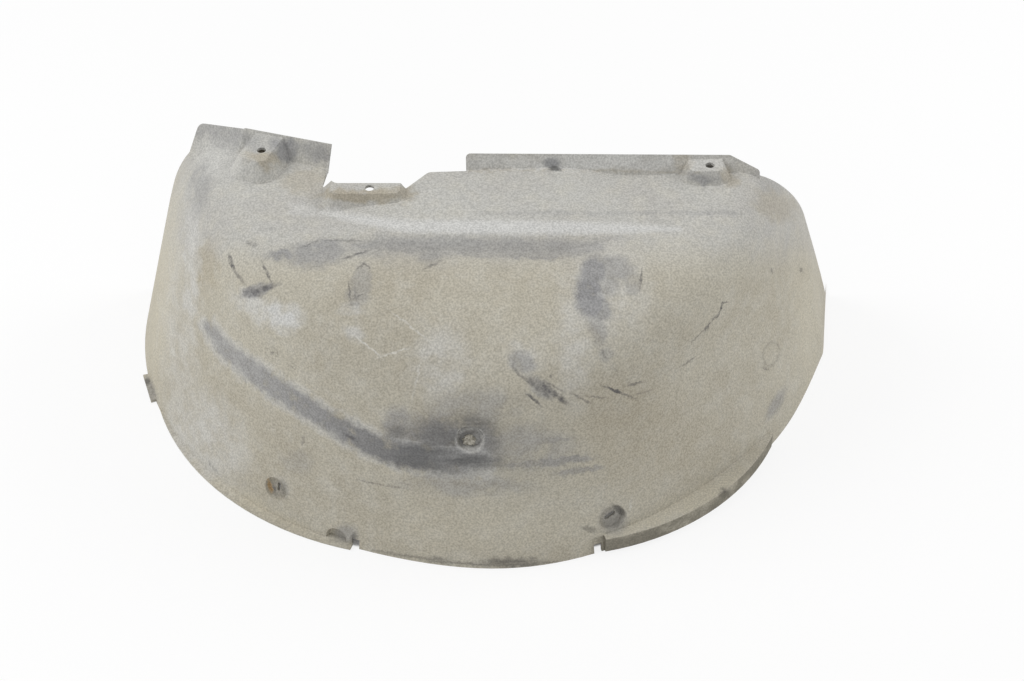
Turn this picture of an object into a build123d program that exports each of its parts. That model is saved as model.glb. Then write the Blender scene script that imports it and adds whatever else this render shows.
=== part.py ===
"""Wheel arch liner: one moulded plastic sheet, lying on its lip with the wheel side down."""

import os
from math import cos, radians, sin, sqrt, tan

from build123d import *

# All sizes are in millimetres and degrees. The origin is where the wheel's axis crosses the plane
# of the lip. +X runs along the arch, +Y goes back to the open side and +Z goes up the dome.
# Angles along the lip are measured round the wheel's axis from +X.

# Sheet and dome
wall = 2.5
reach_left = 332
reach_right = 344
reach_front = 336
plan_middle = 30
dome_height = 230
front_draft = 14
left_draft = 15.5
right_draft = 14
shoulder_rise = 88
shoulder_front = 113
shoulder_side = 55
squareness_left = 2.05
squareness_right = 1.7
squareness_top = 4.0
leg_length = 90
right_leg_flare = 9
plan_steps = 6
shoulder_steps = 5

# Trim line of the sheet, in plan: left leg, left flange, notch, far edge, right leg
left_leg_back = 25
left_corner = (-253, -2)
left_bend = (-212, -43)
notch_left = (-131, -68)
notch_corner = (-135, -97)
pad_left_x = -122
notch_right_x = -62
notch_ramp_end = (-42, -87)
pad_edge = -112
far_corner = (250, -73)
far_shoulder = (287, -46)
right_waist = (315, -12)
right_leg_end = (347, 24)
trim_round = 7

# Raised band along the far edge
band_rise = 8
band_front = -190
band_middle = 12
band_half_flat = 60
band_half_span = 160
band_end_sink = 1.5
band_slope_run = 24
band_slope_fall = 12
band_round = 20

# Upturned flanges
flange_lean = 30
far_flange_rise = 14
far_flange_start = -9
far_flange_end = 250
far_flange_taper = 26
left_flange_rise = 20
left_flange_end_rise = 0
left_flange_round = 9
flange_root = 14
flange_round = 4

# Raised fixing pads and their clip holes
clip_hole_radius = 4
clip_hole_shift = 3.5
pad_flare = 30
pad_round = 7
left_pad_at = (-193, -67)
left_pad_turn = -20
left_pad_width = 26
left_pad_front = 15
left_pad_top = 247
mid_pad_at = (-95, -119)
mid_pad_width = 60
mid_pad_front = 8
mid_pad_top = 245
right_pad_at = (201, -81)
right_pad_width = 30
right_pad_front = 9
right_pad_top = 241

# Recessed round seats on the wall
seat_depth = 5
seat_mouth = 1.5
crown_seat_x = -3.6
crown_seat_height = 126
crown_seat_radius = 11.5
right_seat_x = 117.6
right_seat_height = 30
right_seat_radius = 12.5
left_seat_x = -176.7
left_seat_height = 29
left_seat_radius = 11.5
right_slot_length = 11
right_slot_width = 4.5
right_slot_tilt = 18
left_slot_length = 9
left_slot_width = 3

# Lip: outward rim on the left, stepped skirt on the right, plain edge between two notches
# Each reaches out from the circle of reach_front by the distance that is given
rim_start_angle = 205
rim_middle_angle = 227
rim_end_angle = 251
rim_start_out = -4
rim_middle_out = 2.5
rim_end_out = -2
tab_start_angle = 196.5
tab_end_angle = 203
tab_out = 1
skirt_start_angle = 289.5
skirt_middle_angle = 307
skirt_end_angle = 325
skirt_start_out = 0.5
skirt_middle_out = 5
skirt_end_out = -6
skirt_height = 16
notch_width = 7
notch_height = 9
left_notch_angle = 251.4
right_notch_angle = 288.4
dimple_x = -122.6
dimple_height = 4.4
dimple_radius = 10

front_lean = tan(radians(front_draft))
left_lean = tan(radians(left_draft))
right_lean = tan(radians(right_draft))
over = 20
top_of_all = dome_height + over + over
lip_root = -over - over
quarter_turn = 90
plan_turns = [quarter_turn * step / plan_steps for step in range(plan_steps + 1)]
shoulder_turns = [quarter_turn * step / shoulder_steps for step in range(shoulder_steps + 1)]


def reaches(height, inset):
    """Distances of the dome's inset face from the axis at a height, and the shoulder's share."""
    turn = (height - dome_height + shoulder_rise) / (shoulder_rise - inset)
    pull = 1 - sqrt(1 - max(0, min(1, turn)) ** 2)
    side = inset + (shoulder_side - inset) * pull
    left = reach_left - left_lean * height - side
    right = reach_right - right_lean * height - side
    front = reach_front - front_lean * height - inset - (shoulder_front - inset) * pull
    return left, right, front, pull


def quarter(side, front, squareness):
    """Points of a quarter of a rounded plan outline, from its side to its front."""
    power = 2 / squareness
    return [
        (plan_middle + side * cos(radians(turn)) ** power, -front * sin(radians(turn)) ** power)
        for turn in plan_turns
    ]


def plan_points(height, inset):
    """Points of the arch outline at a height, from the left leg round the front to the right leg."""
    left, right, front, pull = reaches(height, inset)
    square_left = squareness_left + (squareness_top - squareness_left) * pull
    square_right = squareness_right + (squareness_top - squareness_right) * pull
    on_left = quarter(-left - plan_middle, front, square_left)
    on_right = quarter(right - plan_middle, front, square_right)
    return on_left + on_right[-2::-1]


def dome_section(height, inset):
    """Sketch of the whole dome in plan at a height, closed behind its legs."""
    points = plan_points(height, inset)
    flare = tan(radians(right_leg_flare)) * (1 - reaches(height, inset)[-1])
    with BuildSketch(Plane.XY.offset(height)) as section:
        with BuildLine():
            Spline(points, tangents=((0, -1), (flare, 1)))
            Polyline(
                points[-1],
                (points[-1][0] + flare * leg_length, leg_length),
                (points[0][0], leg_length),
                points[0],
            )
        make_face()
    return section.sketch


def radial_plane(angle):
    """Upright plane through the axis: its x runs out at an angle and its y runs up."""
    out = (cos(radians(angle)), sin(radians(angle)), 0)
    return Plane(origin=(0, 0, 0), x_dir=out, z_dir=(out[1], -out[0], 0))


def wall_plane(x, height):
    """Plane on the outer wall, at an x and a height, that faces out along the wall's normal."""
    left, right, front, _ = reaches(height, 0)
    off_middle = x - plan_middle
    if off_middle > 0:
        side, square = right - plan_middle, squareness_right
    else:
        side, square = left + plan_middle, squareness_left
    share = (abs(off_middle) / side) ** square
    y = -front * (1 - share) ** (1 / square)
    out = Vector(share / off_middle, (1 - share) / y, 0).normalized()
    return Plane(origin=(x, y, height), x_dir=(-out.Y, out.X, 0), z_dir=(out.X, out.Y, front_lean))


def raised_band(inset):
    """Block whose top is the raised band: it curves into the dome at both ends and slopes down in front."""
    top = dome_height + band_rise - inset
    end = dome_height - band_end_sink - inset
    bend = (band_half_flat + band_half_span) / 2
    with BuildPart() as band:
        with BuildSketch(Plane.XZ.offset(-leg_length)):
            with Locations((band_middle, 0)):
                with BuildLine():
                    Line((-band_half_flat, top), (band_half_flat, top))
                    for side in (-1, 1):
                        halfway = (side * bend, (top + end) / 2)
                        TangentArc((side * band_half_flat, top), halfway, tangent=(side, 0))
                        TangentArc((side * band_half_span, end), halfway, tangent=(-side, 0))
                    Polyline(
                        (band_half_span, end),
                        (band_half_span, end - over),
                        (-band_half_span, end - over),
                        (-band_half_span, end),
                    )
                make_face()
        extrude(amount=leg_length - band_front - inset)
        front = band.faces().sort_by(Axis.Y)[0]
        upper = front.edges().sort_by(Axis.Z)[-5:]
        chamfer(upper, length=band_slope_fall, length2=band_slope_run, reference=front)
        crest = band_front + inset + band_slope_run
        fillet(band.edges().filter_by_position(Axis.Y, crest - 1, crest + 1), band_round - inset)
    return band.part


def fixing_pad(at, turn, width, front, top, inset):
    """Raised block for a fixing pad: a flat top with rounded front corners on flared walls."""
    plane = Plane(origin=(at[0], at[1], top - inset), z_dir=(0, 0, 1)).rotated((0, 0, turn))
    half = width / 2 - inset
    near = inset - front
    with BuildPart() as pad:
        with BuildSketch(plane):
            with BuildLine():
                Polyline((-half, leg_length), (-half, near), (half, near), (half, leg_length), close=True)
            make_face()
            fillet(vertices().group_by(Axis.Y)[0], pad_round - inset)
        extrude(amount=over, dir=(0, 0, -1), taper=-pad_flare)
    return pad.part


def seat_tool(x, height, radius, inset):
    """Shallow cone that presses a round seat into the wall, wider and deeper by the inset."""
    plane = wall_plane(x, height)
    with BuildPart() as tool:
        with BuildSketch(plane.offset(-seat_depth - inset)):
            Circle(radius - seat_mouth + inset)
        with BuildSketch(plane.offset(over)):
            Circle(radius + seat_mouth * over / seat_depth + inset)
        loft()
    return tool.part


def lip_point(out, angle):
    """Point in plan at an angle round the axis, beyond the circle of the front reach by a distance."""
    radius = reach_front + out
    return (radius * cos(radians(angle)), radius * sin(radians(angle)))


def skirt(inset):
    """Block of the stepped skirt along the right of the lip, which runs out into the wall."""
    first = lip_point(skirt_start_out, skirt_start_angle)
    last = lip_point(skirt_end_out, skirt_end_angle)
    with BuildPart() as block:
        with BuildSketch(Plane.XY.offset(-over)):
            with BuildLine():
                ThreePointArc(first, lip_point(skirt_middle_out, skirt_middle_angle), last)
                Polyline(
                    last,
                    lip_point(lip_root, skirt_end_angle),
                    lip_point(lip_root, skirt_start_angle),
                    first,
                )
            make_face()
            if inset:
                offset(amount=-inset, mode=Mode.REPLACE)
        extrude(amount=over + skirt_height - inset)
    return block.part


def dome_form(inset):
    """Solid under one face of the sheet: inset 0 gives the outer face and the wall gives the inner one."""
    raised = [
        raised_band(inset),
        fixing_pad(left_pad_at, left_pad_turn, left_pad_width, left_pad_front, left_pad_top, inset),
        fixing_pad(mid_pad_at, 0, mid_pad_width, mid_pad_front, mid_pad_top, inset),
        fixing_pad(right_pad_at, 0, right_pad_width, right_pad_front, right_pad_top, inset),
        skirt(inset),
    ]
    pressed = [
        seat_tool(crown_seat_x, crown_seat_height, crown_seat_radius, inset),
        seat_tool(right_seat_x, right_seat_height, right_seat_radius, inset),
        seat_tool(left_seat_x, left_seat_height, left_seat_radius, inset),
        seat_tool(dimple_x, dimple_height, dimple_radius, inset),
    ]
    wall_top = dome_height - shoulder_rise
    shoulder = [wall_top + (shoulder_rise - inset) * sin(radians(turn)) for turn in shoulder_turns]
    with BuildPart() as form:
        loft([dome_section(height, inset) for height in (-over, wall_top)], ruled=True)
        loft([dome_section(height, inset) for height in shoulder])
        add(raised)
        add(pressed, mode=Mode.SUBTRACT)
    return form.part


def along(start, end):
    """Direction in plan from one point to another."""
    return Vector(end[0] - start[0], end[1] - start[1], 0).normalized()


def length(start, end):
    """Distance between two points in plan."""
    return (Vector(*end) - Vector(*start)).length


def flange_plane(start, end):
    """Plane of an upturned flange: x along its root, y up it, leaning back from the band."""
    run = along(start, end)
    back = Vector(-run.Y, run.X, 0)
    upward = back * sin(radians(flange_lean)) + Vector(0, 0, cos(radians(flange_lean)))
    return Plane(origin=(start[0], start[1], dome_height), x_dir=run, z_dir=run.cross(upward))


def flange_wedge(start, end, first, last):
    """Wedge between the trim face and a leaning flange, from a first to a last place along its run."""
    run = along(start, end)
    tall = top_of_all - dome_height
    section = Plane(origin=(start[0], start[1], dome_height), x_dir=(-run.Y, run.X, 0), z_dir=run)
    with BuildPart() as wedge:
        with BuildSketch(section.offset(first)):
            with BuildLine():
                Polyline((0, 0), (tall * tan(radians(flange_lean)), tall), (0, tall), close=True)
            make_face()
        extrude(amount=last - first)
    return wedge.part


# Everything behind the trim line
with BuildPart() as trim:
    with BuildSketch():
        with BuildLine():
            behind = leg_length + over
            FilletPolyline(
                (-reach_left - over, behind),
                (-reach_left - over, left_leg_back + over),
                left_corner,
                left_bend,
                notch_left,
                notch_corner,
                (pad_left_x, pad_edge),
                (notch_right_x, pad_edge),
                notch_ramp_end,
                far_corner,
                radius=trim_round,
            )
            Spline(far_corner, far_shoulder, right_waist, right_leg_end)
            Polyline(right_leg_end, (reach_right + over, behind), (-reach_left - over, behind))
        make_face()
    extrude(amount=top_of_all)

# Upturned flange along the far edge
with BuildPart() as far_flange:
    begin = far_flange_start - notch_ramp_end[0]
    finish = far_flange_end - notch_ramp_end[0]
    with BuildSketch(flange_plane(notch_ramp_end, far_corner)):
        with BuildLine():
            FilletPolyline(
                (begin, -flange_root),
                (finish, -flange_root),
                (finish, 0),
                (finish - far_flange_taper, far_flange_rise),
                (begin, band_rise + far_flange_rise),
                radius=flange_round,
                close=True,
            )
        make_face()
    extrude(amount=wall)

# Upturned flange on the left, in two straight runs that are mitred at the bend
bend_direction = along(left_corner, left_bend) + along(left_bend, notch_left)
mitre = Plane(origin=(left_bend[0], left_bend[1], 0), z_dir=bend_direction)
with BuildPart() as left_flange:
    left_run = length(left_bend, notch_left)
    with BuildSketch(flange_plane(left_bend, notch_left)):
        with BuildLine():
            Polyline(
                (-over, -flange_root),
                (left_run, -flange_root),
                (left_run, left_flange_rise),
                (-over, left_flange_rise),
                close=True,
            )
        make_face()
    extrude(amount=wall)
    split(bisect_by=mitre, keep=Keep.TOP)
with BuildPart() as corner_flange:
    corner_run = length(left_corner, left_bend)
    with BuildSketch(flange_plane(left_corner, left_bend)):
        with BuildLine():
            Polyline(
                (0, -flange_root - over),
                (corner_run + over, -flange_root - over),
                (corner_run + over, left_flange_rise),
                (corner_run, left_flange_rise),
                (0, left_flange_end_rise),
                close=True,
            )
        make_face()
        fillet(vertices().group_by(Axis.X)[0].sort_by(Axis.Y)[-1], left_flange_round)
    extrude(amount=wall)
    split(bisect_by=mitre, keep=Keep.BOTTOM)

# Space under the sheet
with BuildPart() as hollow:
    add(dome_form(wall))
    add(trim.part, mode=Mode.SUBTRACT)

# Space behind the sheet, less what the band and pads fill up to the flanges
with BuildPart() as back_space:
    add(trim.part)
    add(flange_wedge(notch_ramp_end, far_corner, begin, finish), mode=Mode.SUBTRACT)
    add(flange_wedge(left_bend, notch_left, 0, left_run - trim_round), mode=Mode.SUBTRACT)

with BuildPart() as wheel_arch_liner:
    add(dome_form(0))
    split(bisect_by=Plane.XY, keep=Keep.TOP)
    add(back_space.part, mode=Mode.SUBTRACT)
    add([far_flange.part, left_flange.part, corner_flange.part])

    # Outward rim on the left of the lip, and the tab beyond its end
    with BuildSketch():
        first = lip_point(rim_start_out, rim_start_angle)
        last = lip_point(rim_end_out, rim_end_angle)
        with BuildLine():
            ThreePointArc(first, lip_point(rim_middle_out, rim_middle_angle), last)
            Polyline(last, lip_point(lip_root, rim_end_angle), lip_point(lip_root, rim_start_angle), first)
        make_face()
        with BuildLine():
            Polyline(
                lip_point(tab_out, tab_start_angle),
                lip_point(tab_out, tab_end_angle),
                lip_point(lip_root, tab_end_angle),
                lip_point(lip_root, tab_start_angle),
                close=True,
            )
        make_face()
    extrude(amount=wall)

    add(hollow.part, mode=Mode.SUBTRACT)

    # Clip holes in the pads
    for x, y in (left_pad_at, mid_pad_at, right_pad_at):
        with Locations((x + clip_hole_shift, y, dome_height)):
            Cylinder(clip_hole_radius, top_of_all, mode=Mode.SUBTRACT)

    # Slots in the two lower seats
    with BuildSketch(wall_plane(right_seat_x, right_seat_height)):
        SlotOverall(right_slot_length, right_slot_width, rotation=right_slot_tilt)
    extrude(amount=over, both=True, mode=Mode.SUBTRACT)
    with BuildSketch(wall_plane(left_seat_x, left_seat_height)):
        SlotOverall(left_slot_length, left_slot_width, rotation=quarter_turn)
    extrude(amount=over, both=True, mode=Mode.SUBTRACT)

    # Notches that part the lip in three
    for angle in (left_notch_angle, right_notch_angle):
        with BuildSketch(radial_plane(angle)):
            with Locations((reach_front, 0)):
                Rectangle(over * 2, notch_height * 2)
        extrude(amount=notch_width / 2, both=True, mode=Mode.SUBTRACT)

wheel_arch_liner.part.label = "wheel_arch_liner"
os.makedirs("parts", exist_ok=True)
export_step(wheel_arch_liner.part, "parts/wheel_arch_liner.step")
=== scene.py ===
"""Dresses the wheel arch liner: dusty moulded plastic with rub marks and with painted highlights and painted
shade, on a pale floor.
"""
import math

import bmesh
import bpy
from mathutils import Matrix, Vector, noise


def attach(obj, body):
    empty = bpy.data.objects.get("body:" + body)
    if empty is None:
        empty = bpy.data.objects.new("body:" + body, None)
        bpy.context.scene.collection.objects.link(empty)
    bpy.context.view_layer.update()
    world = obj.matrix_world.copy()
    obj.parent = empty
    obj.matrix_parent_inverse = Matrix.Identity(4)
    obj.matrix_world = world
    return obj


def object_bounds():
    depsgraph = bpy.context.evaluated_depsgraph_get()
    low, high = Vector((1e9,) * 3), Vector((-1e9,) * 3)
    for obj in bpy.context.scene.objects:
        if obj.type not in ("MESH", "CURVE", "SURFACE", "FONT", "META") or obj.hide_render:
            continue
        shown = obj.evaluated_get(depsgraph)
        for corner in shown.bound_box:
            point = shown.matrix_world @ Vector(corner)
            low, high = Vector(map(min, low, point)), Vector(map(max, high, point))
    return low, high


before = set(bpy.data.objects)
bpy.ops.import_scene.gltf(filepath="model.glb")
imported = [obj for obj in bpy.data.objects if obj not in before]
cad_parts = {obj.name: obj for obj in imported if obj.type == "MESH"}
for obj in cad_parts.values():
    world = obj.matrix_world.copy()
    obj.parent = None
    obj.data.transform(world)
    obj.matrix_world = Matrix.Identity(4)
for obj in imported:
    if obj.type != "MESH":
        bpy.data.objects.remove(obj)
cad_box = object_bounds()
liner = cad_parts["wheel_arch_liner"]

# The photograph's frame and camera: marks are placed by its pixels
photo_width = 1024
photo_height = 681
focal_pixels = 1800
sensor_width = 36
camera_at = Vector((0.031, -1.3533, 1.1872))
camera_tilt = math.radians(47.8)
sight_ahead = Vector((0, math.sin(camera_tilt), -math.cos(camera_tilt)))
sight_up = Vector((0, math.cos(camera_tilt), math.sin(camera_tilt)))
sight_right = Vector((1, 0, 0))

# A point inside the dome, which tells the outer face from the inner one; how squarely the face of a pad or
# flange looks at the photograph's camera to count as outer; the fade between the two sides
under_dome = Vector((0, -0.06, 0.06))
front_least = 0.25
side_fade = 0.05

# The notch's reach along X; its cut edges are upright faces
notch_start = -0.165
notch_end = -0.025
notch_fade = 0.01
upright_slope = (0.06, 0.03)

# Dark skirt at the right foot, brown-dark dirt with painted shade on its steep faces: where it fades in along
# Z, X and Y, and by the slope of the face
skirt_below = (0.0165, 0.0145)
skirt_right = (0.095, 0.105)
skirt_front = (-0.184, -0.192)
skirt_slope = (0.5, 0.3)

# Floor: half its side, its gap below the liner, how much of it glows white to the camera. It keeps its shade
# under the dome, within a radius of the wheel axis, and the shade ends towards the open back
floor_half = 30
floor_gap = 0.0005
floor_glow = 0.8
shade_radius = 0.329
shade_edge = 0.003
shade_deep = -0.17
shade_end = 0.05

# Lamps: place, size in metres, power in watts; the point they face; the sky's level as light and as seen
lamps = {
    "key": ((-1.5, -0.2, 1.7), 1.5, 20),
    "fill": ((1.6, 0.3, 1.4), 1.5, 14),
}
lamps_face = Vector((0, -0.1, 0.1))
sky_light = 0.6
sky_seen = 1.0

# Colours as seen on screen, from 0 to 255
low_dust = (173, 167, 152)
low_dust_pale = (182, 177, 163)
crown_dust = (176, 174, 169)
crown_dust_pale = (183, 182, 177)
mottled_dust = (190, 187, 177)
# The cream also paints rim light along the left, lower left and right edges
cream_dust_and_rim_light = (194, 188, 171)
# The brown also paints shade on the pads' front walls, under the middle pad and in the flange crease
brown_dust_and_shade = (158, 147, 124)
# The pale also paints the highlight along the ridge crest and on a shallow crease, and light on the far
# flange
pale_dust_and_light = (201, 201, 199)
fringe_dust = (196, 196, 194)
# The bare greys also paint shade below the ridge, in the groove, at the pads, on the left flange, in the left
# dimple and on the left tab
bare_and_shade_dark = (116, 117, 122)
bare_and_shade_pale = (142, 142, 144)
rub_dark = (104, 104, 105)
# The darkest grey also paints shade in the seats, at the left dimple and tab, and along the lip's lower edge
smudge_and_shade_dark = (74, 74, 74)
# The skirt's dark is partly painted shade on the steep faces at the right foot
skirt_dirt_and_shade_dark = (114, 110, 98)
rust = (190, 157, 108)
light_scratch = (212, 211, 206)
dark_scratch = (88, 87, 89)
inside_dark = (106, 103, 97)
inside_pale = (128, 122, 110)
mud_dark = (150, 145, 132)
mud_pale = (200, 196, 184)
floor_white = (245, 245, 245)

# Roughness; relief as strength and depth in metres; the brightness that the grain gives
bare_roughness = 0.65
dusty_roughness = 0.9
mud_roughness = 0.95
matt_specular = 0.25
dust_relief = (0.3, 0.0008)
mud_relief = (0.6, 0.001)
grain_relief = 0.4
grain_dark = 0.8
grain_light = 1.2

# Scales of the noises; the last is across the photograph's pixels
grain_scale = 620
skips_scale = 230
mottle_scale = 60
clouds_scale = 9
crumbs_scale = 500
wiped_scale = (0.018, 0.22, 0)

# Wanders that make the edges of marks uneven: scale of the noise, reach in pixels
ragged_wander = (70, 11)
rough_wander = (150, 5)
close_wander = (260, 2.5)

# Ranges of a noise over which a colour or mark comes in, the most it reaches, and the least that is left
even_mix = (0.35, 0.65)
grain_range = (0.2, 0.8)
mottled_range = (0.4, 0.75)
mottled_most = 0.55
pale_range = (0.3, 0.6)
pale_least = 0.4
rubbed_range = (0.22, 0.55)
blots_range = (0.15, 0.5)
fringe_range = (0.3, 0.5)
fringe_most = 0.45
smudge_range = (0.25, 0.6)
smudge_least = 0.55
skirt_range = (0.2, 0.6)
skirt_most = 0.8
scratch_range = (0.35, 0.6)
scratch_least = 0.45

# Rows of the photograph where beige dust turns to the crown's pale grey, and how unevenly
crown_rows = (300, 245)
crown_unevenness = 40

# Patches of the outer face: centre and half sizes in pixels, turn in degrees, strength
pale_dust_and_light_patches = {
    # Painted highlight along the left end of the ridge crest, over pale dust
    "ridge_left_painted_highlight": ((347, 217), (30, 6), 6, 0.6),
    # Painted light on the far flange, which faces away from the lamps
    "far_flange_painted_light": ((590, 161), (120, 9), 0, 0.7),
    # Painted highlight further left along the ridge crest
    "ridge_far_left_painted_highlight": ((306, 210), (22, 6), 12, 0.45),
    "smear_left": ((279, 316), (24, 14), 12, 0.9),
    "smear_fringe": ((250, 302), (16, 10), 30, 0.6),
    "left_column": ((191, 275), (9, 66), 2, 0.55),
    "beside_scratch": ((355, 334), (11, 8), 30, 0.6),
    "beside_hatch": ((352, 310), (14, 7), 0, 0.5),
    "column_middle": ((441, 364), (26, 34), 4, 0.45),
    # Painted highlight on a shallow upright crease
    "column_right_painted_highlight": ((575, 340), (16, 60), 3, 0.4),
    "round_comma": ((604, 290), (40, 44), 0, 0.4),
    "left_corner": ((222, 160), (26, 22), 10, 0.35),
    "left_low": ((206, 440), (34, 52), -30, 0.5),
    "left_wall": ((180, 330), (18, 80), 0, 0.35),
    "scuff_fringe": ((522, 358), (20, 14), 20, 0.4),
}
cream_dust_and_rim_light_patches = {
    # Painted rim light along the left, lower left and right edges, over cream dust; the foot is cream dust
    # only
    "left_edge": ((160, 290), (14, 130), 5, 0.65),
    "left_rim_painted_light": ((240, 496), (70, 7), 29, 0.6),
    "right_edge_painted_light": ((808, 330), (12, 90), -4, 0.45),
    "low_right_painted_light": ((690, 500), (80, 8), -24, 0.4),
    "foot": ((480, 530), (120, 24), 0, 0.3),
}
brown_dust_and_shade_patches = {
    # Painted shade on the left pad's front wall, under the middle pad and in the dip at its end, over brown
    # dust
    "left_pad_wall_painted_shade": ((262, 160), (20, 8), 8, 0.55),
    "under_middle_pad_painted_shade": ((362, 196), (46, 6), 2, 0.6),
    "middle_pad_end_painted_shade": ((405, 191), (10, 8), 0, 0.5),
    "beside_notch": ((303, 180), (22, 13), 0, 0.35),
    "flange_spots": ((682, 161), (10, 9), 0, 0.6),
    "flange_left": ((520, 158), (18, 8), 0, 0.2),
    # Painted shade on the right pad's front wall, over brown dust
    "right_pad_wall_painted_shade": ((728, 178), (9, 10), 0, 0.4),
    "left_scuffs": ((208, 266), (10, 24), 0, 0.35),
    "right_shoulder": ((775, 205), (20, 14), 30, 0.35),
    "low_middle": ((640, 440), (70, 50), 10, 0.2),
}
rubbed_and_shaded_patches = {
    # Painted shade on the riser below the ridge, mixed with dust rubbed off there
    "below_ridge_left_wear_and_shade": ((318, 253), (32, 13), -8, 0.65),
    "below_ridge_middle_wear_and_shade": ((375, 248), (30, 9), -3, 0.4),
    "dark_band_left_wear_and_shade": ((279, 254), (15, 6), -3, 0.75),
    "riser_end_wear_and_shade": ((430, 250), (13, 12), 0, 0.55),
    "beside_seat": ((396, 428), (15, 20), 20, 0.6),
    "seat_halo": ((452, 444), (54, 31), 4, 0.74),
    "seat_upper": ((476, 408), (40, 18), -5, 0.4),
    "below_seat": ((466, 484), (62, 10), 2, 0.4),
    "right_of_seat": ((522, 450), (50, 24), 0, 0.42),
    "shoulder_left": ((201, 190), (10, 24), 5, 0.4),
    # Painted shade on the shaded right side of the left pad
    "beside_left_pad_painted_shade": ((284, 150), (15, 11), 10, 0.75),
    # Painted shade on the left flange, which faces away from the lamps
    "left_flange_low_painted_shade": ((226, 135), (36, 11), 16, 0.48),
    "left_flange_end_painted_shade": ((318, 152), (16, 8), 10, 0.5),
    # Painted shade on the right pad's front wall
    "under_right_pad_painted_shade": ((701, 178), (14, 6), 8, 0.6),
    "right_shoulder": ((770, 180), (16, 12), 35, 0.25),
    "low_left": ((298, 462), (13, 11), 0, 0.25),
}
rubbed_blots = {
    "comma_body": ((590, 297), (15, 24), -12, 0.82),
    "comma_low": ((600, 310), (12, 13), 0, 0.6),
    "comma_shoulder": ((594, 272), (14, 15), 0, 0.75),
    "comma_head": ((614, 268), (21, 12), 10, 0.5),
    "comma_middle": ((606, 284), (13, 13), 0, 0.45),
    "comma_right": ((632, 282), (9, 12), 0, 0.35),
    "comma_tail": ((598, 328), (9, 18), -12, 0.45),
    "comma_foot": ((606, 354), (7, 8), 0, 0.3),
    "hatch": ((361, 286), (10, 22), 8, 0.4),
    "hatch_foot": ((352, 297), (7, 9), 0, 0.35),
    "scuff_blob": ((522, 362), (14, 10), 25, 0.5),
    "scuff_low": ((541, 388), (15, 8), 38, 0.45),
    "wedge": ((258, 290), (17, 6), -18, 0.6),
    "streak_upper": ((541, 441), (32, 3.5), -4, 0.5),
    "streak_middle": ((548, 462), (46, 4.5), -5, 0.6),
    "streak_lower": ((578, 471), (24, 3.5), -8, 0.5),
}
rubbed_and_shaded_spots = {
    # Painted shade in the hollow of the left dimple
    "left_dimple_painted_shade": ((346, 534), (11, 9), 0, 0.5),
    "left_seat": ((280, 488), (8, 10), -20, 0.3),
    "right_seat": ((613, 520), (13, 13), 0, 0.5),
    "flange_spot": ((552, 163), (8, 5), 0, 0.6),
    # Painted shade on the left tab, which faces down and away from the lamps
    "left_tab_painted_shade": ((150, 390), (5, 14), -20, 0.5),
    "right_smear": ((776, 404), (5, 17), 30, 0.5),
}
smudge_and_shade_patches = {
    "seat_above": ((476, 424), (22, 9), 10, 0.5),
    "seat_right": ((492, 440), (10, 18), 0, 0.4),
    "seat_left": ((442, 441), (30, 19), 5, 0.55),
    "seat_below": ((470, 461), (32, 8), 2, 0.75),
    "streak_left": ((440, 462), (40, 12), 8, 0.4),
    "beside_seat": ((398, 433), (12, 6), 0, 0.5),
    # Painted shade along the lip's downward-facing lower edge
    "lip_middle_painted_shade": ((513, 563), (28, 5), 1, 0.65),
    "lip_left_painted_shade": ((438, 560), (13, 3), 6, 0.5),
    "skirt_mark": ((725, 493), (5, 5), -40, 0.8),
}
smudge_and_shade_spots = {
    # Painted shade on the shaded walls of the right, crown and left seats
    "right_seat_rim_painted_shade": ((619, 510), (8, 3), 40, 0.55),
    "crown_seat_top_painted_shade": ((469, 431), (9, 3), 0, 0.4),
    "left_seat_rim_painted_shade": ((284, 489), (3, 8), -15, 0.3),
    "flange_spot": ((555, 169), (6, 2.5), 0, 0.75),
    "beside_right_seat": ((589, 529), (8, 3), 15, 0.4),
    # Painted shade at the edge of the left dimple
    "dimple_edge_painted_shade": ((354, 538), (3, 5), 20, 0.5),
    # Painted shade at the tip of the left tab
    "tab_tip_painted_shade": ((147, 382), (3, 3), 0, 0.6),
}
rust_spots = {"left_seat": ((270, 486), (2, 6.5), -14, 0.65)}

# Rings: centre, half sizes, turn, strength
pale_rings = {"crown_seat": ((470, 440), (13, 12), 0, 0.5)}
dark_rings = {
    "right_ring": ((771, 354), (8, 12), 15, 0.28),
    "left_ring": ((272, 353), (6, 6), 0, 0.25),
    "left_ring_small": ((292, 367), (4, 4), 0, 0.25),
}

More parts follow.
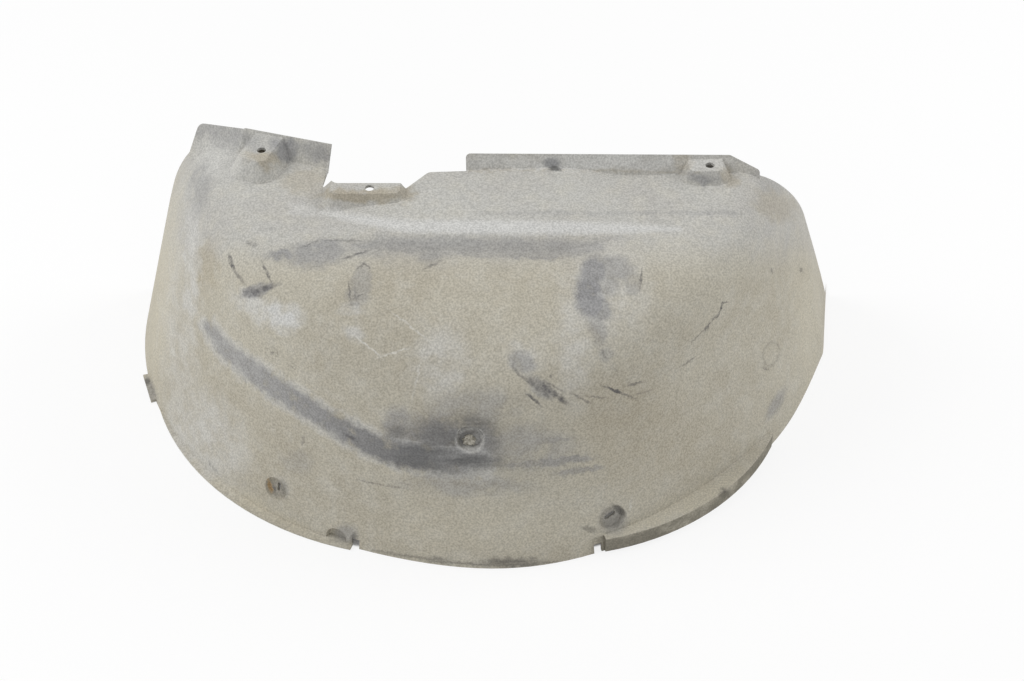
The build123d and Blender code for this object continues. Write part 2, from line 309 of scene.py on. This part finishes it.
# Straight strokes: from, to, half width, strength
dark_strokes = {
    "upper_left": ((229, 255), (235, 273), 1.8, 0.85),
    "upper_left_foot": ((234, 270), (245, 284), 1.6, 0.5),
    "second": ((262, 262), (272, 283), 1.1, 0.7),
    "curl": ((246, 242), (257, 246), 2.4, 0.45),
    "wedge": ((243, 296), (278, 284), 3, 0.75),
    "wedge_thick": ((243, 291), (262, 295), 4.5, 0.65),
    "hatch_top": ((343, 259), (368, 251), 1.2, 0.75),
    "hatch_second": ((356, 270), (366, 262), 1.2, 0.6),
    "hatch_left": ((348, 281), (351, 303), 1.1, 0.55),
    "hatch_middle": ((360, 262), (371, 268), 1, 0.5),
    "hatch_low": ((351, 300), (363, 294), 1, 0.45),
    "hatch_right": ((354, 288), (358, 303), 1, 0.4),
    "smear_edge": ((300, 248), (322, 239), 1.2, 0.5),
    "smear_edge_flat": ((320, 240), (366, 241), 1, 0.45),
    "faint_dash": ((264, 229), (277, 229), 1.6, 0.3),
    "riser_tail": ((424, 269), (441, 261), 1.6, 0.5),
    "streak_core": ((343, 433), (360, 442), 1.6, 0.7),
    "ring_dot": ((270, 353), (274, 353), 1.6, 0.5),
    "ring_dot_small": ((290, 367), (294, 367), 1.2, 0.4),
    "scuff_edge": ((513, 366), (521, 378), 1.6, 0.4),
    "scuff_one": ((526, 392), (541, 406), 1.8, 0.8),
    "scuff_two": ((528, 378), (550, 398), 3.4, 0.6),
    "scuff_three": ((537, 381), (568, 404), 3, 0.85),
    "scuff_four": ((550, 378), (553, 374), 1.4, 0.5),
    "scuff_six": ((515, 372), (532, 384), 1.3, 0.55),
    "scuff_seven": ((546, 382), (564, 392), 1.1, 0.5),
    "comma_curl": ((607, 358), (617, 373), 1.2, 0.18),
    "comma_curl_low": ((616, 371), (634, 387), 1.1, 0.18),
    "dash_one": ((570, 393), (592, 404), 1.1, 0.55),
    "dash_two": ((603, 386), (634, 398), 1.5, 0.85),
    "dash_three": ((628, 386), (642, 382), 1.5, 0.65),
    "dash_four": ((634, 395), (652, 390), 1, 0.4),
    "dash_five": ((583, 396), (606, 398), 1, 0.4),
    "comma_scratch": ((642, 268), (640, 290), 1, 0.6),
    "comma_foot": ((602, 350), (606, 360), 1.4, 0.5),
    "crack_hook": ((722, 303), (727, 302), 1, 0.7),
    "crack_one": ((723, 303), (719, 314), 1.2, 0.9),
    "crack_two": ((720, 313), (711, 322), 1.1, 0.8),
    "crack_three": ((712, 320), (704, 332), 1.1, 0.7),
    "crack_four": ((704, 330), (692, 342), 1, 0.55),
    "crack_five": ((695, 357), (681, 367), 1, 0.45),
    "ring_dash": ((762, 367), (769, 370), 1.2, 0.5),
    "dot_right": ((800, 268), (802, 272), 1.8, 0.7),
    "dot_upper": ((771, 268), (772, 274), 1, 0.5),
    "low_line": ((357, 480), (383, 485), 1, 0.45),
    "low_line_two": ((380, 485), (405, 488), 1, 0.35),
    "low_dash": ((304, 436), (302, 445), 1.4, 0.45),
    "rim_dash": ((208, 461), (218, 473), 1.4, 0.4),
    "left_seat_line": ((273, 484), (276, 496), 1.2, 0.7),
}
light_strokes = {
    "scratch_left": ((354, 335), (382, 358), 1.1, 0.6),
    "scratch_left_two": ((378, 358), (408, 348), 1.1, 0.5),
    "scratch_middle": ((391, 311), (429, 341), 1, 0.5),
    "column_edge": ((412, 402), (424, 346), 1.1, 0.35),
    "right_seat_scratch": ((632, 496), (630, 512), 1, 0.4),
    "left_edge": ((172, 348), (176, 358), 1.6, 0.5),
    "comma_spot": ((597, 294), (605, 297), 3, 0.45),
    "crown_seat_floor": ((461, 444), (480, 444), 8, 0.5),
    "notch_edge": ((333, 149), (326, 178), 1.5, 0.6),
}

# Long marks: places and half widths in pixels, softness of the edge in pixels, strength
# Painted highlight along the rounded crest of the ridge, over pale dust
crest_highlight_paths = {
    "crest_painted_highlight": (
        ((322, 212, 2), (360, 219, 4), (404, 226, 6), (520, 228, 7), (600, 228, 6), (680, 229, 1)), 4, 0.75
    ),
}
# Painted shade in the crease at the far flange's root
flange_crease_shade_paths = {"flange_crease_painted_shade": (((468, 171, 0.6), (560, 169, 0.6), (700, 173, 0.6)), 2, 0.4)}
rubbed_and_shaded_paths = {
    # Painted shade on the riser below the ridge, partly rubbed dust, and along its foot and top
    "riser_wear_and_shade": (((352, 246, 4), (410, 246, 8), (480, 247, 10), (552, 249, 10), (600, 246, 5)), 5, 0.5),
    "riser_foot_painted_shade": (((462, 255, 0.6), (500, 257, 1.4), (556, 258, 2)), 2.5, 0.62),
    "riser_top_painted_shade": (((404, 238, 1), (480, 238, 1.5), (560, 240, 1.5), (640, 238, 0.5)), 2, 0.25),
    # Painted shade in a shallow groove
    "groove_painted_shade": (((478, 213, 1), (690, 213, 1.5), (738, 213, 3)), 3, 0.3),
}
lip_shade_paths = {
    # Painted shade along the lip's downward-facing lower edge
    "lip_edge_painted_shade": (((372, 550, 0.6), (430, 560, 1), (480, 565, 1.2), (562, 562, 0.8)), 1.5, 0.55),
}

# The long rub: places and half widths; pixels past its edge over which its fringe and it itself come in;
# columns over which it deepens, darkens and fades out; the least and the most of it
long_rub = (
    (208, 326, 6), (224, 348, 8), (246, 366, 10), (276, 388, 11), (300, 403, 11),
    (322, 417, 10), (348, 432, 11), (374, 446, 12), (402, 456, 13), (480, 466, 12),
)
rub_fringe = (8, 1)
rub_edge = (4, -5)
rub_deepens = (220, 400)
rub_darkens = (260, 430)
rub_fades = (480, 410)
rub_least = 0.6
rub_most = 0.85

# A path starts from a distance that nothing reaches. Each mask is worked out after the one before it, which
# it takes as a third coordinate and scales away: Cycles has no room to hold all masks of a material at once
far_away = 10000
out_of_plane = 1000000
in_plane = Vector((1, 1, 0))

# Sockets of a Mix node that mixes colours: factor, first and second colour; result
mix_inputs = (0, 6, 7)
mix_output = 2

# Crumb of dried mud in the crown seat: place in the photograph, half sizes and height of its lumps in metres;
# the lumps' scale, their fall and step from one octave to the next, and the octaves
mud_place = (470, 440)
mud_half_sizes = (0.0054, 0.0046, 0.0022)
mud_lumpiness = 0.0026
lump_scale = 1.7
lump_fall = 1.0
lump_step = 2.0
lump_octaves = 3


class Shades:
    """Builds one material's nodes; a value may be a number, a vector, a colour or another node's output."""

    def __init__(self, name):
        self.material = bpy.data.materials.new(name)
        self.material.use_nodes = True
        self.tree = self.material.node_tree
        self.tree.nodes.clear()

    def put(self, socket, value):
        if isinstance(value, bpy.types.NodeSocket):
            self.tree.links.new(value, socket)
        else:
            socket.default_value = value

    def node(self, kind, inputs=None, **settings):
        made = self.tree.nodes.new("ShaderNode" + kind)
        for name, value in settings.items():
            setattr(made, name, value)
        for name, value in (inputs or {}).items():
            self.put(made.inputs[name], value)
        return made

    def math(self, operation, *values, clamp=False):
        made = self.node("Math", operation=operation, use_clamp=clamp)
        for socket, value in zip(made.inputs, values):
            self.put(socket, value)
        return made.outputs[0]

    def vector(self, operation, *values, scale=None):
        made = self.node("VectorMath", operation=operation)
        for socket, value in zip(made.inputs, values):
            self.put(socket, value)
        if scale is not None:
            self.put(made.inputs["Scale"], scale)
        return made.outputs["Value" if operation in ("DOT_PRODUCT", "LENGTH") else "Vector"]

    def axes(self, vector):
        return self.node("SeparateXYZ", {"Vector": vector}).outputs

    def smooth(self, value, low, high, top=1, bottom=0):
        """bottom at low and top at high, smooth between; low may be the larger."""
        made = self.node("MapRange", interpolation_type="SMOOTHSTEP")
        self.put(made.inputs["Value"], value)
        made.inputs["From Min"].default_value = low
        made.inputs["From Max"].default_value = high
        made.inputs["To Min"].default_value = bottom
        made.inputs["To Max"].default_value = top
        return made.outputs["Result"]

    def noise(self, at, scale, detail=4, roughness=0.55):
        inputs = {"Vector": at, "Scale": scale, "Detail": detail, "Roughness": roughness}
        return self.node("TexNoise", inputs).outputs

    def mix(self, factor, first, second):
        made = self.node("Mix", data_type="RGBA")
        for index, value in zip(mix_inputs, (factor, first, second)):
            self.put(made.inputs[index], value)
        return made.outputs[mix_output]

    def both(self, *masks):
        product = masks[0]
        for mask in masks[1:]:
            product = self.math("MULTIPLY", product, mask)
        return product

    def most(self, *masks):
        top = masks[0]
        for mask in masks[1:]:
            top = self.math("MAXIMUM", top, mask)
        return top

    def reach(self, place, after, centre, half, turn):
        """Distance from the centre of an ellipse, 1 at its edge; it is worked out after another value."""
        flat = self.node("CombineXYZ", {"X": place["X"], "Y": place["Y"], "Z": after}).outputs["Vector"]
        local = self.node("Mapping", {"Vector": flat}, vector_type="TEXTURE")
        local.inputs["Location"].default_value = (*centre, 0)
        local.inputs["Rotation"].default_value = (0, 0, math.radians(turn))
        local.inputs["Scale"].default_value = (*half, out_of_plane)
        return self.vector("LENGTH", local.outputs["Vector"])

    def patches(self, place, facts, soft=0.5):
        """Soft-edged ellipses in photograph pixels."""
        top = 0
        for centre, half, turn, strength in facts.values():
            mask = self.smooth(self.reach(place, top, centre, half, turn), 1 + soft, 1 - soft, strength)
            top = self.math("MAXIMUM", mask, top)
        return top

    def rings(self, place, facts, width=0.25):
        """Thin elliptical rings in photograph pixels."""
        top = 0
        for centre, half, turn, strength in facts.values():
            off = self.math("ABSOLUTE", self.math("SUBTRACT", self.reach(place, top, centre, half, turn), 1))
            top = self.math("MAXIMUM", self.smooth(off, width, 0, strength), top)
        return top

    def strokes(self, place, facts):
        """Straight strokes with pointed ends in photograph pixels."""
        ellipses = {}
        for name, (start, end, half_width, strength) in facts.items():
            run = Vector(end) - Vector(start)
            centre = (Vector(start) + Vector(end)) / 2
            turn = math.degrees(math.atan2(run.y, run.x))
            ellipses[name] = (centre, (run.length / 2, half_width), turn, strength)
        return self.patches(place, ellipses)

    def off_path(self, place, points, after=0):
        """Pixels beyond the edge of a path through places with half widths; negative within the path."""
        least = far_away
        for (x, y, half), (next_x, next_y, next_half) in zip(points, points[1:]):
            run = Vector((next_x - x, next_y - y, 0))
            flat = self.node("CombineXYZ", {"X": place["X"], "Y": place["Y"], "Z": after}).outputs["Vector"]
            flat = self.vector("MULTIPLY", flat, in_plane)
            offset = self.vector("SUBTRACT", flat, Vector((x, y, 0)))
            share = self.vector("DOT_PRODUCT", offset, run / run.length_squared)
            share = self.math("ADD", share, 0, clamp=True)
            along = self.vector("SCALE", run, scale=share)
            away = self.vector("LENGTH", self.vector("SUBTRACT", offset, along))
            away = self.math("MULTIPLY_ADD", share, half - next_half, self.math("SUBTRACT", away, half))
            least = after = self.math("MINIMUM", least, away)
        return least

    def paths(self, place, facts):
        """Long soft-edged marks in photograph pixels."""
        top = 0
        for points, soft, strength in facts.values():
            mask = self.smooth(self.off_path(place, points, top), soft, -soft, strength)
            top = self.math("MAXIMUM", mask, top)
        return top

    def finish(self, base, rough, height, relief):
        """Ends the material as a matt shader with a fine relief."""
        strength, depth = relief
        bump = self.node("Bump", {"Height": height, "Strength": strength, "Distance": depth})
        inputs = {"Base Color": base, "Roughness": rough, "Normal": bump.outputs["Normal"]}
        shader = self.node("BsdfPrincipled", inputs)
        shader.inputs["Specular IOR Level"].default_value = matt_specular
        self.node("OutputMaterial", {"Surface": shader.outputs["BSDF"]})
        return self.material


def colour(levels):
    """A colour as seen on screen, as Blender's linear one: the sRGB curve above its darkest levels."""
    return (*(((level / 255 + 0.055) / 1.055) ** 2.4 for level in levels), 1)


def photo_place(shades, position):
    """Where the photograph's camera sees a point, in its pixels."""
    offset = shades.vector("SUBTRACT", position, camera_at)
    depth = shades.vector("DOT_PRODUCT", offset, sight_ahead)
    across = shades.vector("DOT_PRODUCT", offset, sight_right)
    rise = shades.vector("DOT_PRODUCT", offset, sight_up)
    column = shades.math("MULTIPLY_ADD", shades.math("DIVIDE", across, depth), focal_pixels, photo_width / 2)
    row = shades.math("MULTIPLY_ADD", shades.math("DIVIDE", rise, depth), -focal_pixels, photo_height / 2)
    return shades.node("CombineXYZ", {"X": column, "Y": row}).outputs["Vector"]


class Surface:
    """What the liner's material follows: places, photograph pixels with three kinds of wander, and noises."""

    def __init__(self, shades):
        self.shades = shades
        self.position = shades.node("TexCoord").outputs["Object"]
        self.geometry = shades.node("NewGeometry").outputs
        self.place = photo_place(shades, self.position)
        self.pixel = shades.axes(self.place)
        self.ragged = self.wander(*ragged_wander)
        self.rough = self.wander(*rough_wander)
        self.close = self.wander(*close_wander)
        self.grain = shades.noise(self.position, grain_scale, detail=1)["Fac"]
        self.skips = shades.noise(self.position, skips_scale, detail=2)["Fac"]
        self.mottle = shades.noise(self.position, mottle_scale, detail=6, roughness=0.6)["Fac"]
        self.clouds = shades.noise(self.position, clouds_scale)["Fac"]
        self.wiped = shades.noise(shades.vector("MULTIPLY", self.place, wiped_scale), 1, detail=3)["Fac"]

    def wander(self, scale, pixels):
        """The photograph's pixels, shifted by up to some pixels."""
        shift = self.shades.noise(self.position, scale, detail=2)["Color"]
        shift = self.shades.vector("MULTIPLY_ADD", shift, (2 * pixels, 2 * pixels, 0), (-pixels, -pixels, 0))
        return self.shades.axes(self.shades.vector("ADD", self.place, shift))


def dust(shades, surface):
    """Beige dust that turns pale grey on the crown, with cream, brown and pale patches; painted highlights on
    the ridge crest and a crease, painted light on the far flange and the edges, painted shade at the pads and
    the flange crease.
    """
    cloudy = shades.smooth(surface.clouds, *even_mix)
    low = shades.mix(cloudy, colour(low_dust), colour(low_dust_pale))
    high = shades.mix(cloudy, colour(crown_dust), colour(crown_dust_pale))
    row = shades.math("MULTIPLY_ADD", surface.mottle, crown_unevenness, surface.pixel["Y"])
    face = shades.mix(shades.smooth(row, *crown_rows), low, high)
    mottled = shades.smooth(surface.mottle, *mottled_range, mottled_most)
    face = shades.mix(mottled, face, colour(mottled_dust))
    # Cream dust, with painted rim light along the edges
    face = shades.mix(shades.patches(surface.ragged, cream_dust_and_rim_light_patches, soft=0.8), face, colour(cream_dust_and_rim_light))
    # Brown dust, with painted shade at the pads and in the flange crease
    brown_and_shade = shades.most(
        shades.patches(surface.ragged, brown_dust_and_shade_patches), shades.paths(surface.rough, flange_crease_shade_paths)
    )
    face = shades.mix(brown_and_shade, face, colour(brown_dust_and_shade))
    pale_and_light = shades.both(
        shades.patches(surface.ragged, pale_dust_and_light_patches),
        shades.smooth(surface.mottle, *pale_range, bottom=pale_least),
    )
    # Pale dust, with the painted highlight along the ridge crest
    pale_and_light = shades.most(pale_and_light, shades.paths(surface.close, crest_highlight_paths))
    return shades.mix(pale_and_light, face, colour(pale_dust_and_light))


def rub(shades, surface, face):
    """Dust rubbed off to bare grey plastic, and how far; the same bare grey also paints shade below the
    ridge, in the groove, at the pads, on the left flange, in the left dimple and on the left tab.
    """
    mottle = surface.mottle
    bare_and_shade = shades.mix(shades.smooth(mottle, *even_mix), colour(bare_and_shade_dark), colour(bare_and_shade_pale))
    rubbed_and_shaded = shades.both(
        shades.patches(surface.ragged, rubbed_and_shaded_patches), shades.smooth(mottle, *rubbed_range)
    )
    rubbed_and_shaded = shades.most(rubbed_and_shaded, shades.patches(surface.close, rubbed_and_shaded_spots))
    blots_and_shade = shades.patches(surface.rough, rubbed_blots, soft=0.35)
    # The riser and groove paths are painted shade
    blots_and_shade = shades.most(blots_and_shade, shades.paths(surface.rough, rubbed_and_shaded_paths))
    rubbed_and_shaded = shades.most(rubbed_and_shaded, shades.both(blots_and_shade, shades.smooth(mottle, *blots_range)))
    face = shades.mix(rubbed_and_shaded, face, bare_and_shade)

    edge = shades.off_path(surface.rough, long_rub)
    fringe = shades.both(
        shades.smooth(edge, *rub_fringe, fringe_most), shades.smooth(mottle, *fringe_range)
    )
    face = shades.mix(fringe, face, colour(fringe_dust))
    streak = shades.both(shades.smooth(edge, *rub_edge), shades.smooth(mottle, *blots_range))
    column = surface.pixel["X"]
    streak = shades.both(streak, shades.smooth(column, *rub_deepens, rub_most, bottom=rub_least))
    streak = shades.both(streak, shades.smooth(column, *rub_fades))
    darker = shades.mix(shades.smooth(column, *rub_darkens), bare_and_shade, colour(rub_dark))
    return shades.mix(streak, face, darker), shades.most(rubbed_and_shaded, streak)


def marks(shades, surface, face):
    """Smudges, painted shade in the seats, at the left dimple and tab and along the lip's lower edge, the
    dark skirt that is partly painted shade, rust, scratches and rings.
    """
    # Smudges, with painted shade in the seats, at the dimple and tab, and along the lip
    smudge_and_shade = shades.most(
        shades.patches(surface.rough, smudge_and_shade_patches, soft=0.7), shades.paths(surface.close, lip_shade_paths)
    )
    smudge_and_shade = shades.both(smudge_and_shade, shades.smooth(surface.wiped, *smudge_range, bottom=smudge_least))
    smudge_and_shade = shades.most(smudge_and_shade, shades.patches(surface.close, smudge_and_shade_spots))
    face = shades.mix(smudge_and_shade, face, colour(smudge_and_shade_dark))

    axes = shades.axes(surface.position)
    # Dark skirt: brown-dark dirt, and painted shade that comes in by the slope of the face
    skirt_dirt_and_shade = shades.both(
        shades.smooth(axes["Z"], *skirt_below),
        shades.smooth(axes["X"], *skirt_right),
        shades.smooth(axes["Y"], *skirt_front),
        shades.smooth(shades.axes(surface.geometry["Normal"])["Z"], *skirt_slope),
        shades.smooth(surface.mottle, *skirt_range, skirt_most),
    )
    face = shades.mix(skirt_dirt_and_shade, face, colour(skirt_dirt_and_shade_dark))

    face = shades.mix(shades.patches(surface.close, rust_spots), face, colour(rust))
    broken = shades.smooth(surface.skips, *scratch_range, bottom=scratch_least)
    light = shades.most(
        shades.strokes(surface.close, light_strokes), shades.rings(surface.close, pale_rings)
    )
    face = shades.mix(shades.both(light, broken), face, colour(light_scratch))
    dark = shades.most(shades.strokes(surface.close, dark_strokes), shades.rings(surface.close, dark_rings))
    return shades.mix(shades.both(dark, broken), face, colour(dark_scratch))


def outer_side(shades, surface):
    """1 on the outer face and on the notch's cut edges, 0 on the inner face."""
    normal = surface.geometry["Normal"]
    outward = shades.vector("NORMALIZE", shades.vector("SUBTRACT", surface.position, under_dome))
    faces_out = shades.vector("DOT_PRODUCT", normal, outward)
    faces_front = shades.math("SUBTRACT", shades.vector("DOT_PRODUCT", normal, -sight_ahead), front_least)
    upright = shades.math("ABSOLUTE", shades.axes(surface.geometry["True Normal"])["Z"])
    across = shades.axes(surface.position)["X"]
    cut_edge = shades.both(
        shades.smooth(upright, *upright_slope),
        shades.smooth(across, notch_start, notch_start + notch_fade),
        shades.smooth(across, notch_end, notch_end - notch_fade),
    )
    outer = shades.smooth(shades.most(faces_out, faces_front), -side_fade, side_fade)
    return shades.most(outer, cut_edge)


def dusty_plastic_and_painted_light():
    """Dark grey plastic under beige dust, rubbed, smudged and smeared where the photograph shows it, with
    painted highlights and painted shade on its ridge, edges, pads, seats and lip.
    """
    shades = Shades("dusty_plastic_and_painted_light")
    surface = Surface(shades)
    face, rubbed_and_shaded = rub(shades, surface, dust(shades, surface))
    face = marks(shades, surface, face)
    mottled = shades.smooth(surface.mottle, *even_mix)
    inside = shades.mix(mottled, colour(inside_dark), colour(inside_pale))
    base = shades.mix(outer_side(shades, surface), inside, face)
    speckle = shades.smooth(surface.grain, *grain_range, grain_light, bottom=grain_dark)
    base = shades.vector("SCALE", base, scale=speckle)
    height = shades.math("MULTIPLY_ADD", surface.grain, grain_relief, surface.mottle)
    rough = shades.smooth(rubbed_and_shaded, 0, 1, bare_roughness, bottom=dusty_roughness)
    return shades.finish(base, rough, height, dust_relief)


def dried_mud():
    """Pale crumbly mud."""
    shades = Shades("dried_mud")
    crumbs = shades.noise(shades.node("TexCoord").outputs["Object"], crumbs_scale, detail=5)["Fac"]
    base = shades.mix(shades.smooth(crumbs, *even_mix), colour(mud_dark), colour(mud_pale))
    return shades.finish(base, mud_roughness, crumbs, mud_relief)


def sight(column, row):
    """Direction of a pixel of the photograph, 1 long along the camera's axis."""
    rise = (photo_height / 2 - row) / focal_pixels
    across = (column - photo_width / 2) / focal_pixels
    return sight_ahead + sight_up * rise + sight_right * across


def touch(column, row):
    """Place and normal of the liner's face at a pixel of the photograph."""
    hit, at, normal, _ = liner.ray_cast(camera_at, sight(column, row).normalized())
    if not hit:
        raise ValueError(f"no face at pixel {column}, {row}")
    return at, normal


def add_piece(name, shape, material):
    """Turns a shape into a smooth piece that rides on the liner."""
    for face in shape.faces:
        face.smooth = True
    mesh = bpy.data.meshes.new(name)
    shape.to_mesh(mesh)
    shape.free()
    mesh.materials.append(material)
    piece = bpy.data.objects.new(name, mesh)
    bpy.context.scene.collection.objects.link(piece)
    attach(piece, "root")


def add_mud():
    """A lumpy crumb of mud that fills the floor of the crown seat."""
    at, normal = touch(*mud_place)
    turn = normal.to_track_quat("Z", "Y")
    shape = bmesh.new()
    bmesh.ops.create_icosphere(shape, subdivisions=4, radius=1)
    for vertex in shape.verts:
        spread = Vector(a * b for a, b in zip(vertex.co, mud_half_sizes))
        lump = noise.fractal(vertex.co * lump_scale, lump_fall, lump_step, lump_octaves) * mud_lumpiness
        vertex.co = at + turn @ (spread + vertex.co * lump)
    add_piece("seat_mud", shape, dried_mud())


def white_floor():
    """A matt white floor that keeps a faint shadow and looks white to the camera, but not under the dome."""
    shades = Shades("white_floor")
    matt = shades.node("BsdfDiffuse", {"Color": colour(floor_white)}).outputs["BSDF"]
    glow = shades.node("Emission", {"Color": (1, 1, 1, 1), "Strength": 1}).outputs["Emission"]
    path = shades.node("LightPath").outputs
    seen = shades.most(path["Is Camera Ray"], path["Is Glossy Ray"], path["Is Transmission Ray"])
    position = shades.node("TexCoord").outputs["Object"]
    outside = shades.smooth(shades.vector("LENGTH", position), shade_radius - shade_edge, shade_radius)
    behind = shades.smooth(shades.axes(position)["Y"], shade_deep, shade_end)
    part = shades.both(seen, shades.most(outside, behind), floor_glow)
    blend = shades.node("MixShader", {0: part, 1: matt, 2: glow})
    shades.node("OutputMaterial", {"Surface": blend.outputs["Shader"]})
    return shades.material


def add_floor():
    """A square floor just below the liner."""
    mesh = bpy.data.meshes.new("floor")
    corners = [(x * floor_half, y * floor_half, 0) for x, y in ((-1, -1), (1, -1), (1, 1), (-1, 1))]
    mesh.from_pydata(corners, [], [(0, 1, 2, 3)])
    mesh.materials.append(white_floor())
    floor = bpy.data.objects.new("floor", mesh)
    floor.location.z = cad_box[0].z - floor_gap
    bpy.context.scene.collection.objects.link(floor)


def add_light(name, at, size, power):
    """A round soft lamp that faces the liner."""
    lamp = bpy.data.lights.new(name, "AREA")
    lamp.shape = "DISK"
    lamp.size = size
    lamp.energy = power
    light = bpy.data.objects.new(name, lamp)
    light.location = at
    light.rotation_mode = "QUATERNION"
    light.rotation_quaternion = (lamps_face - light.location).to_track_quat("-Z", "Y")
    bpy.context.scene.collection.objects.link(light)


def add_world():
    """A plain sky that lights softly and looks white."""
    world = bpy.data.worlds.new("studio")
    world.use_nodes = True
    bpy.context.scene.world = world
    tree = world.node_tree
    sky = tree.nodes["Background"]
    path = tree.nodes.new("ShaderNodeLightPath")
    level = tree.nodes.new("ShaderNodeMapRange")
    level.inputs["To Min"].default_value = sky_light
    level.inputs["To Max"].default_value = sky_seen
    tree.links.new(path.outputs["Is Camera Ray"], level.inputs["Value"])
    tree.links.new(level.outputs["Result"], sky.inputs["Strength"])
    sky.inputs["Color"].default_value = (1, 1, 1, 1)


def add_camera():
    """The photograph's camera."""
    lens = bpy.data.cameras.new("photo_camera")
    lens.sensor_width = sensor_width
    lens.lens = sensor_width * focal_pixels / photo_width
    camera = bpy.data.objects.new("photo_camera", lens)
    camera.location = camera_at
    camera.rotation_euler = (camera_tilt, 0, 0)
    bpy.context.scene.collection.objects.link(camera)
    bpy.context.scene.camera = camera


liner.data.materials.clear()
liner.data.materials.append(dusty_plastic_and_painted_light())
add_mud()
add_floor()
for lamp_name, (lamp_at, lamp_size, lamp_power) in lamps.items():
    add_light(lamp_name, lamp_at, lamp_size, lamp_power)
add_world()
add_camera()
bpy.context.scene.view_settings.view_transform = "Standard"
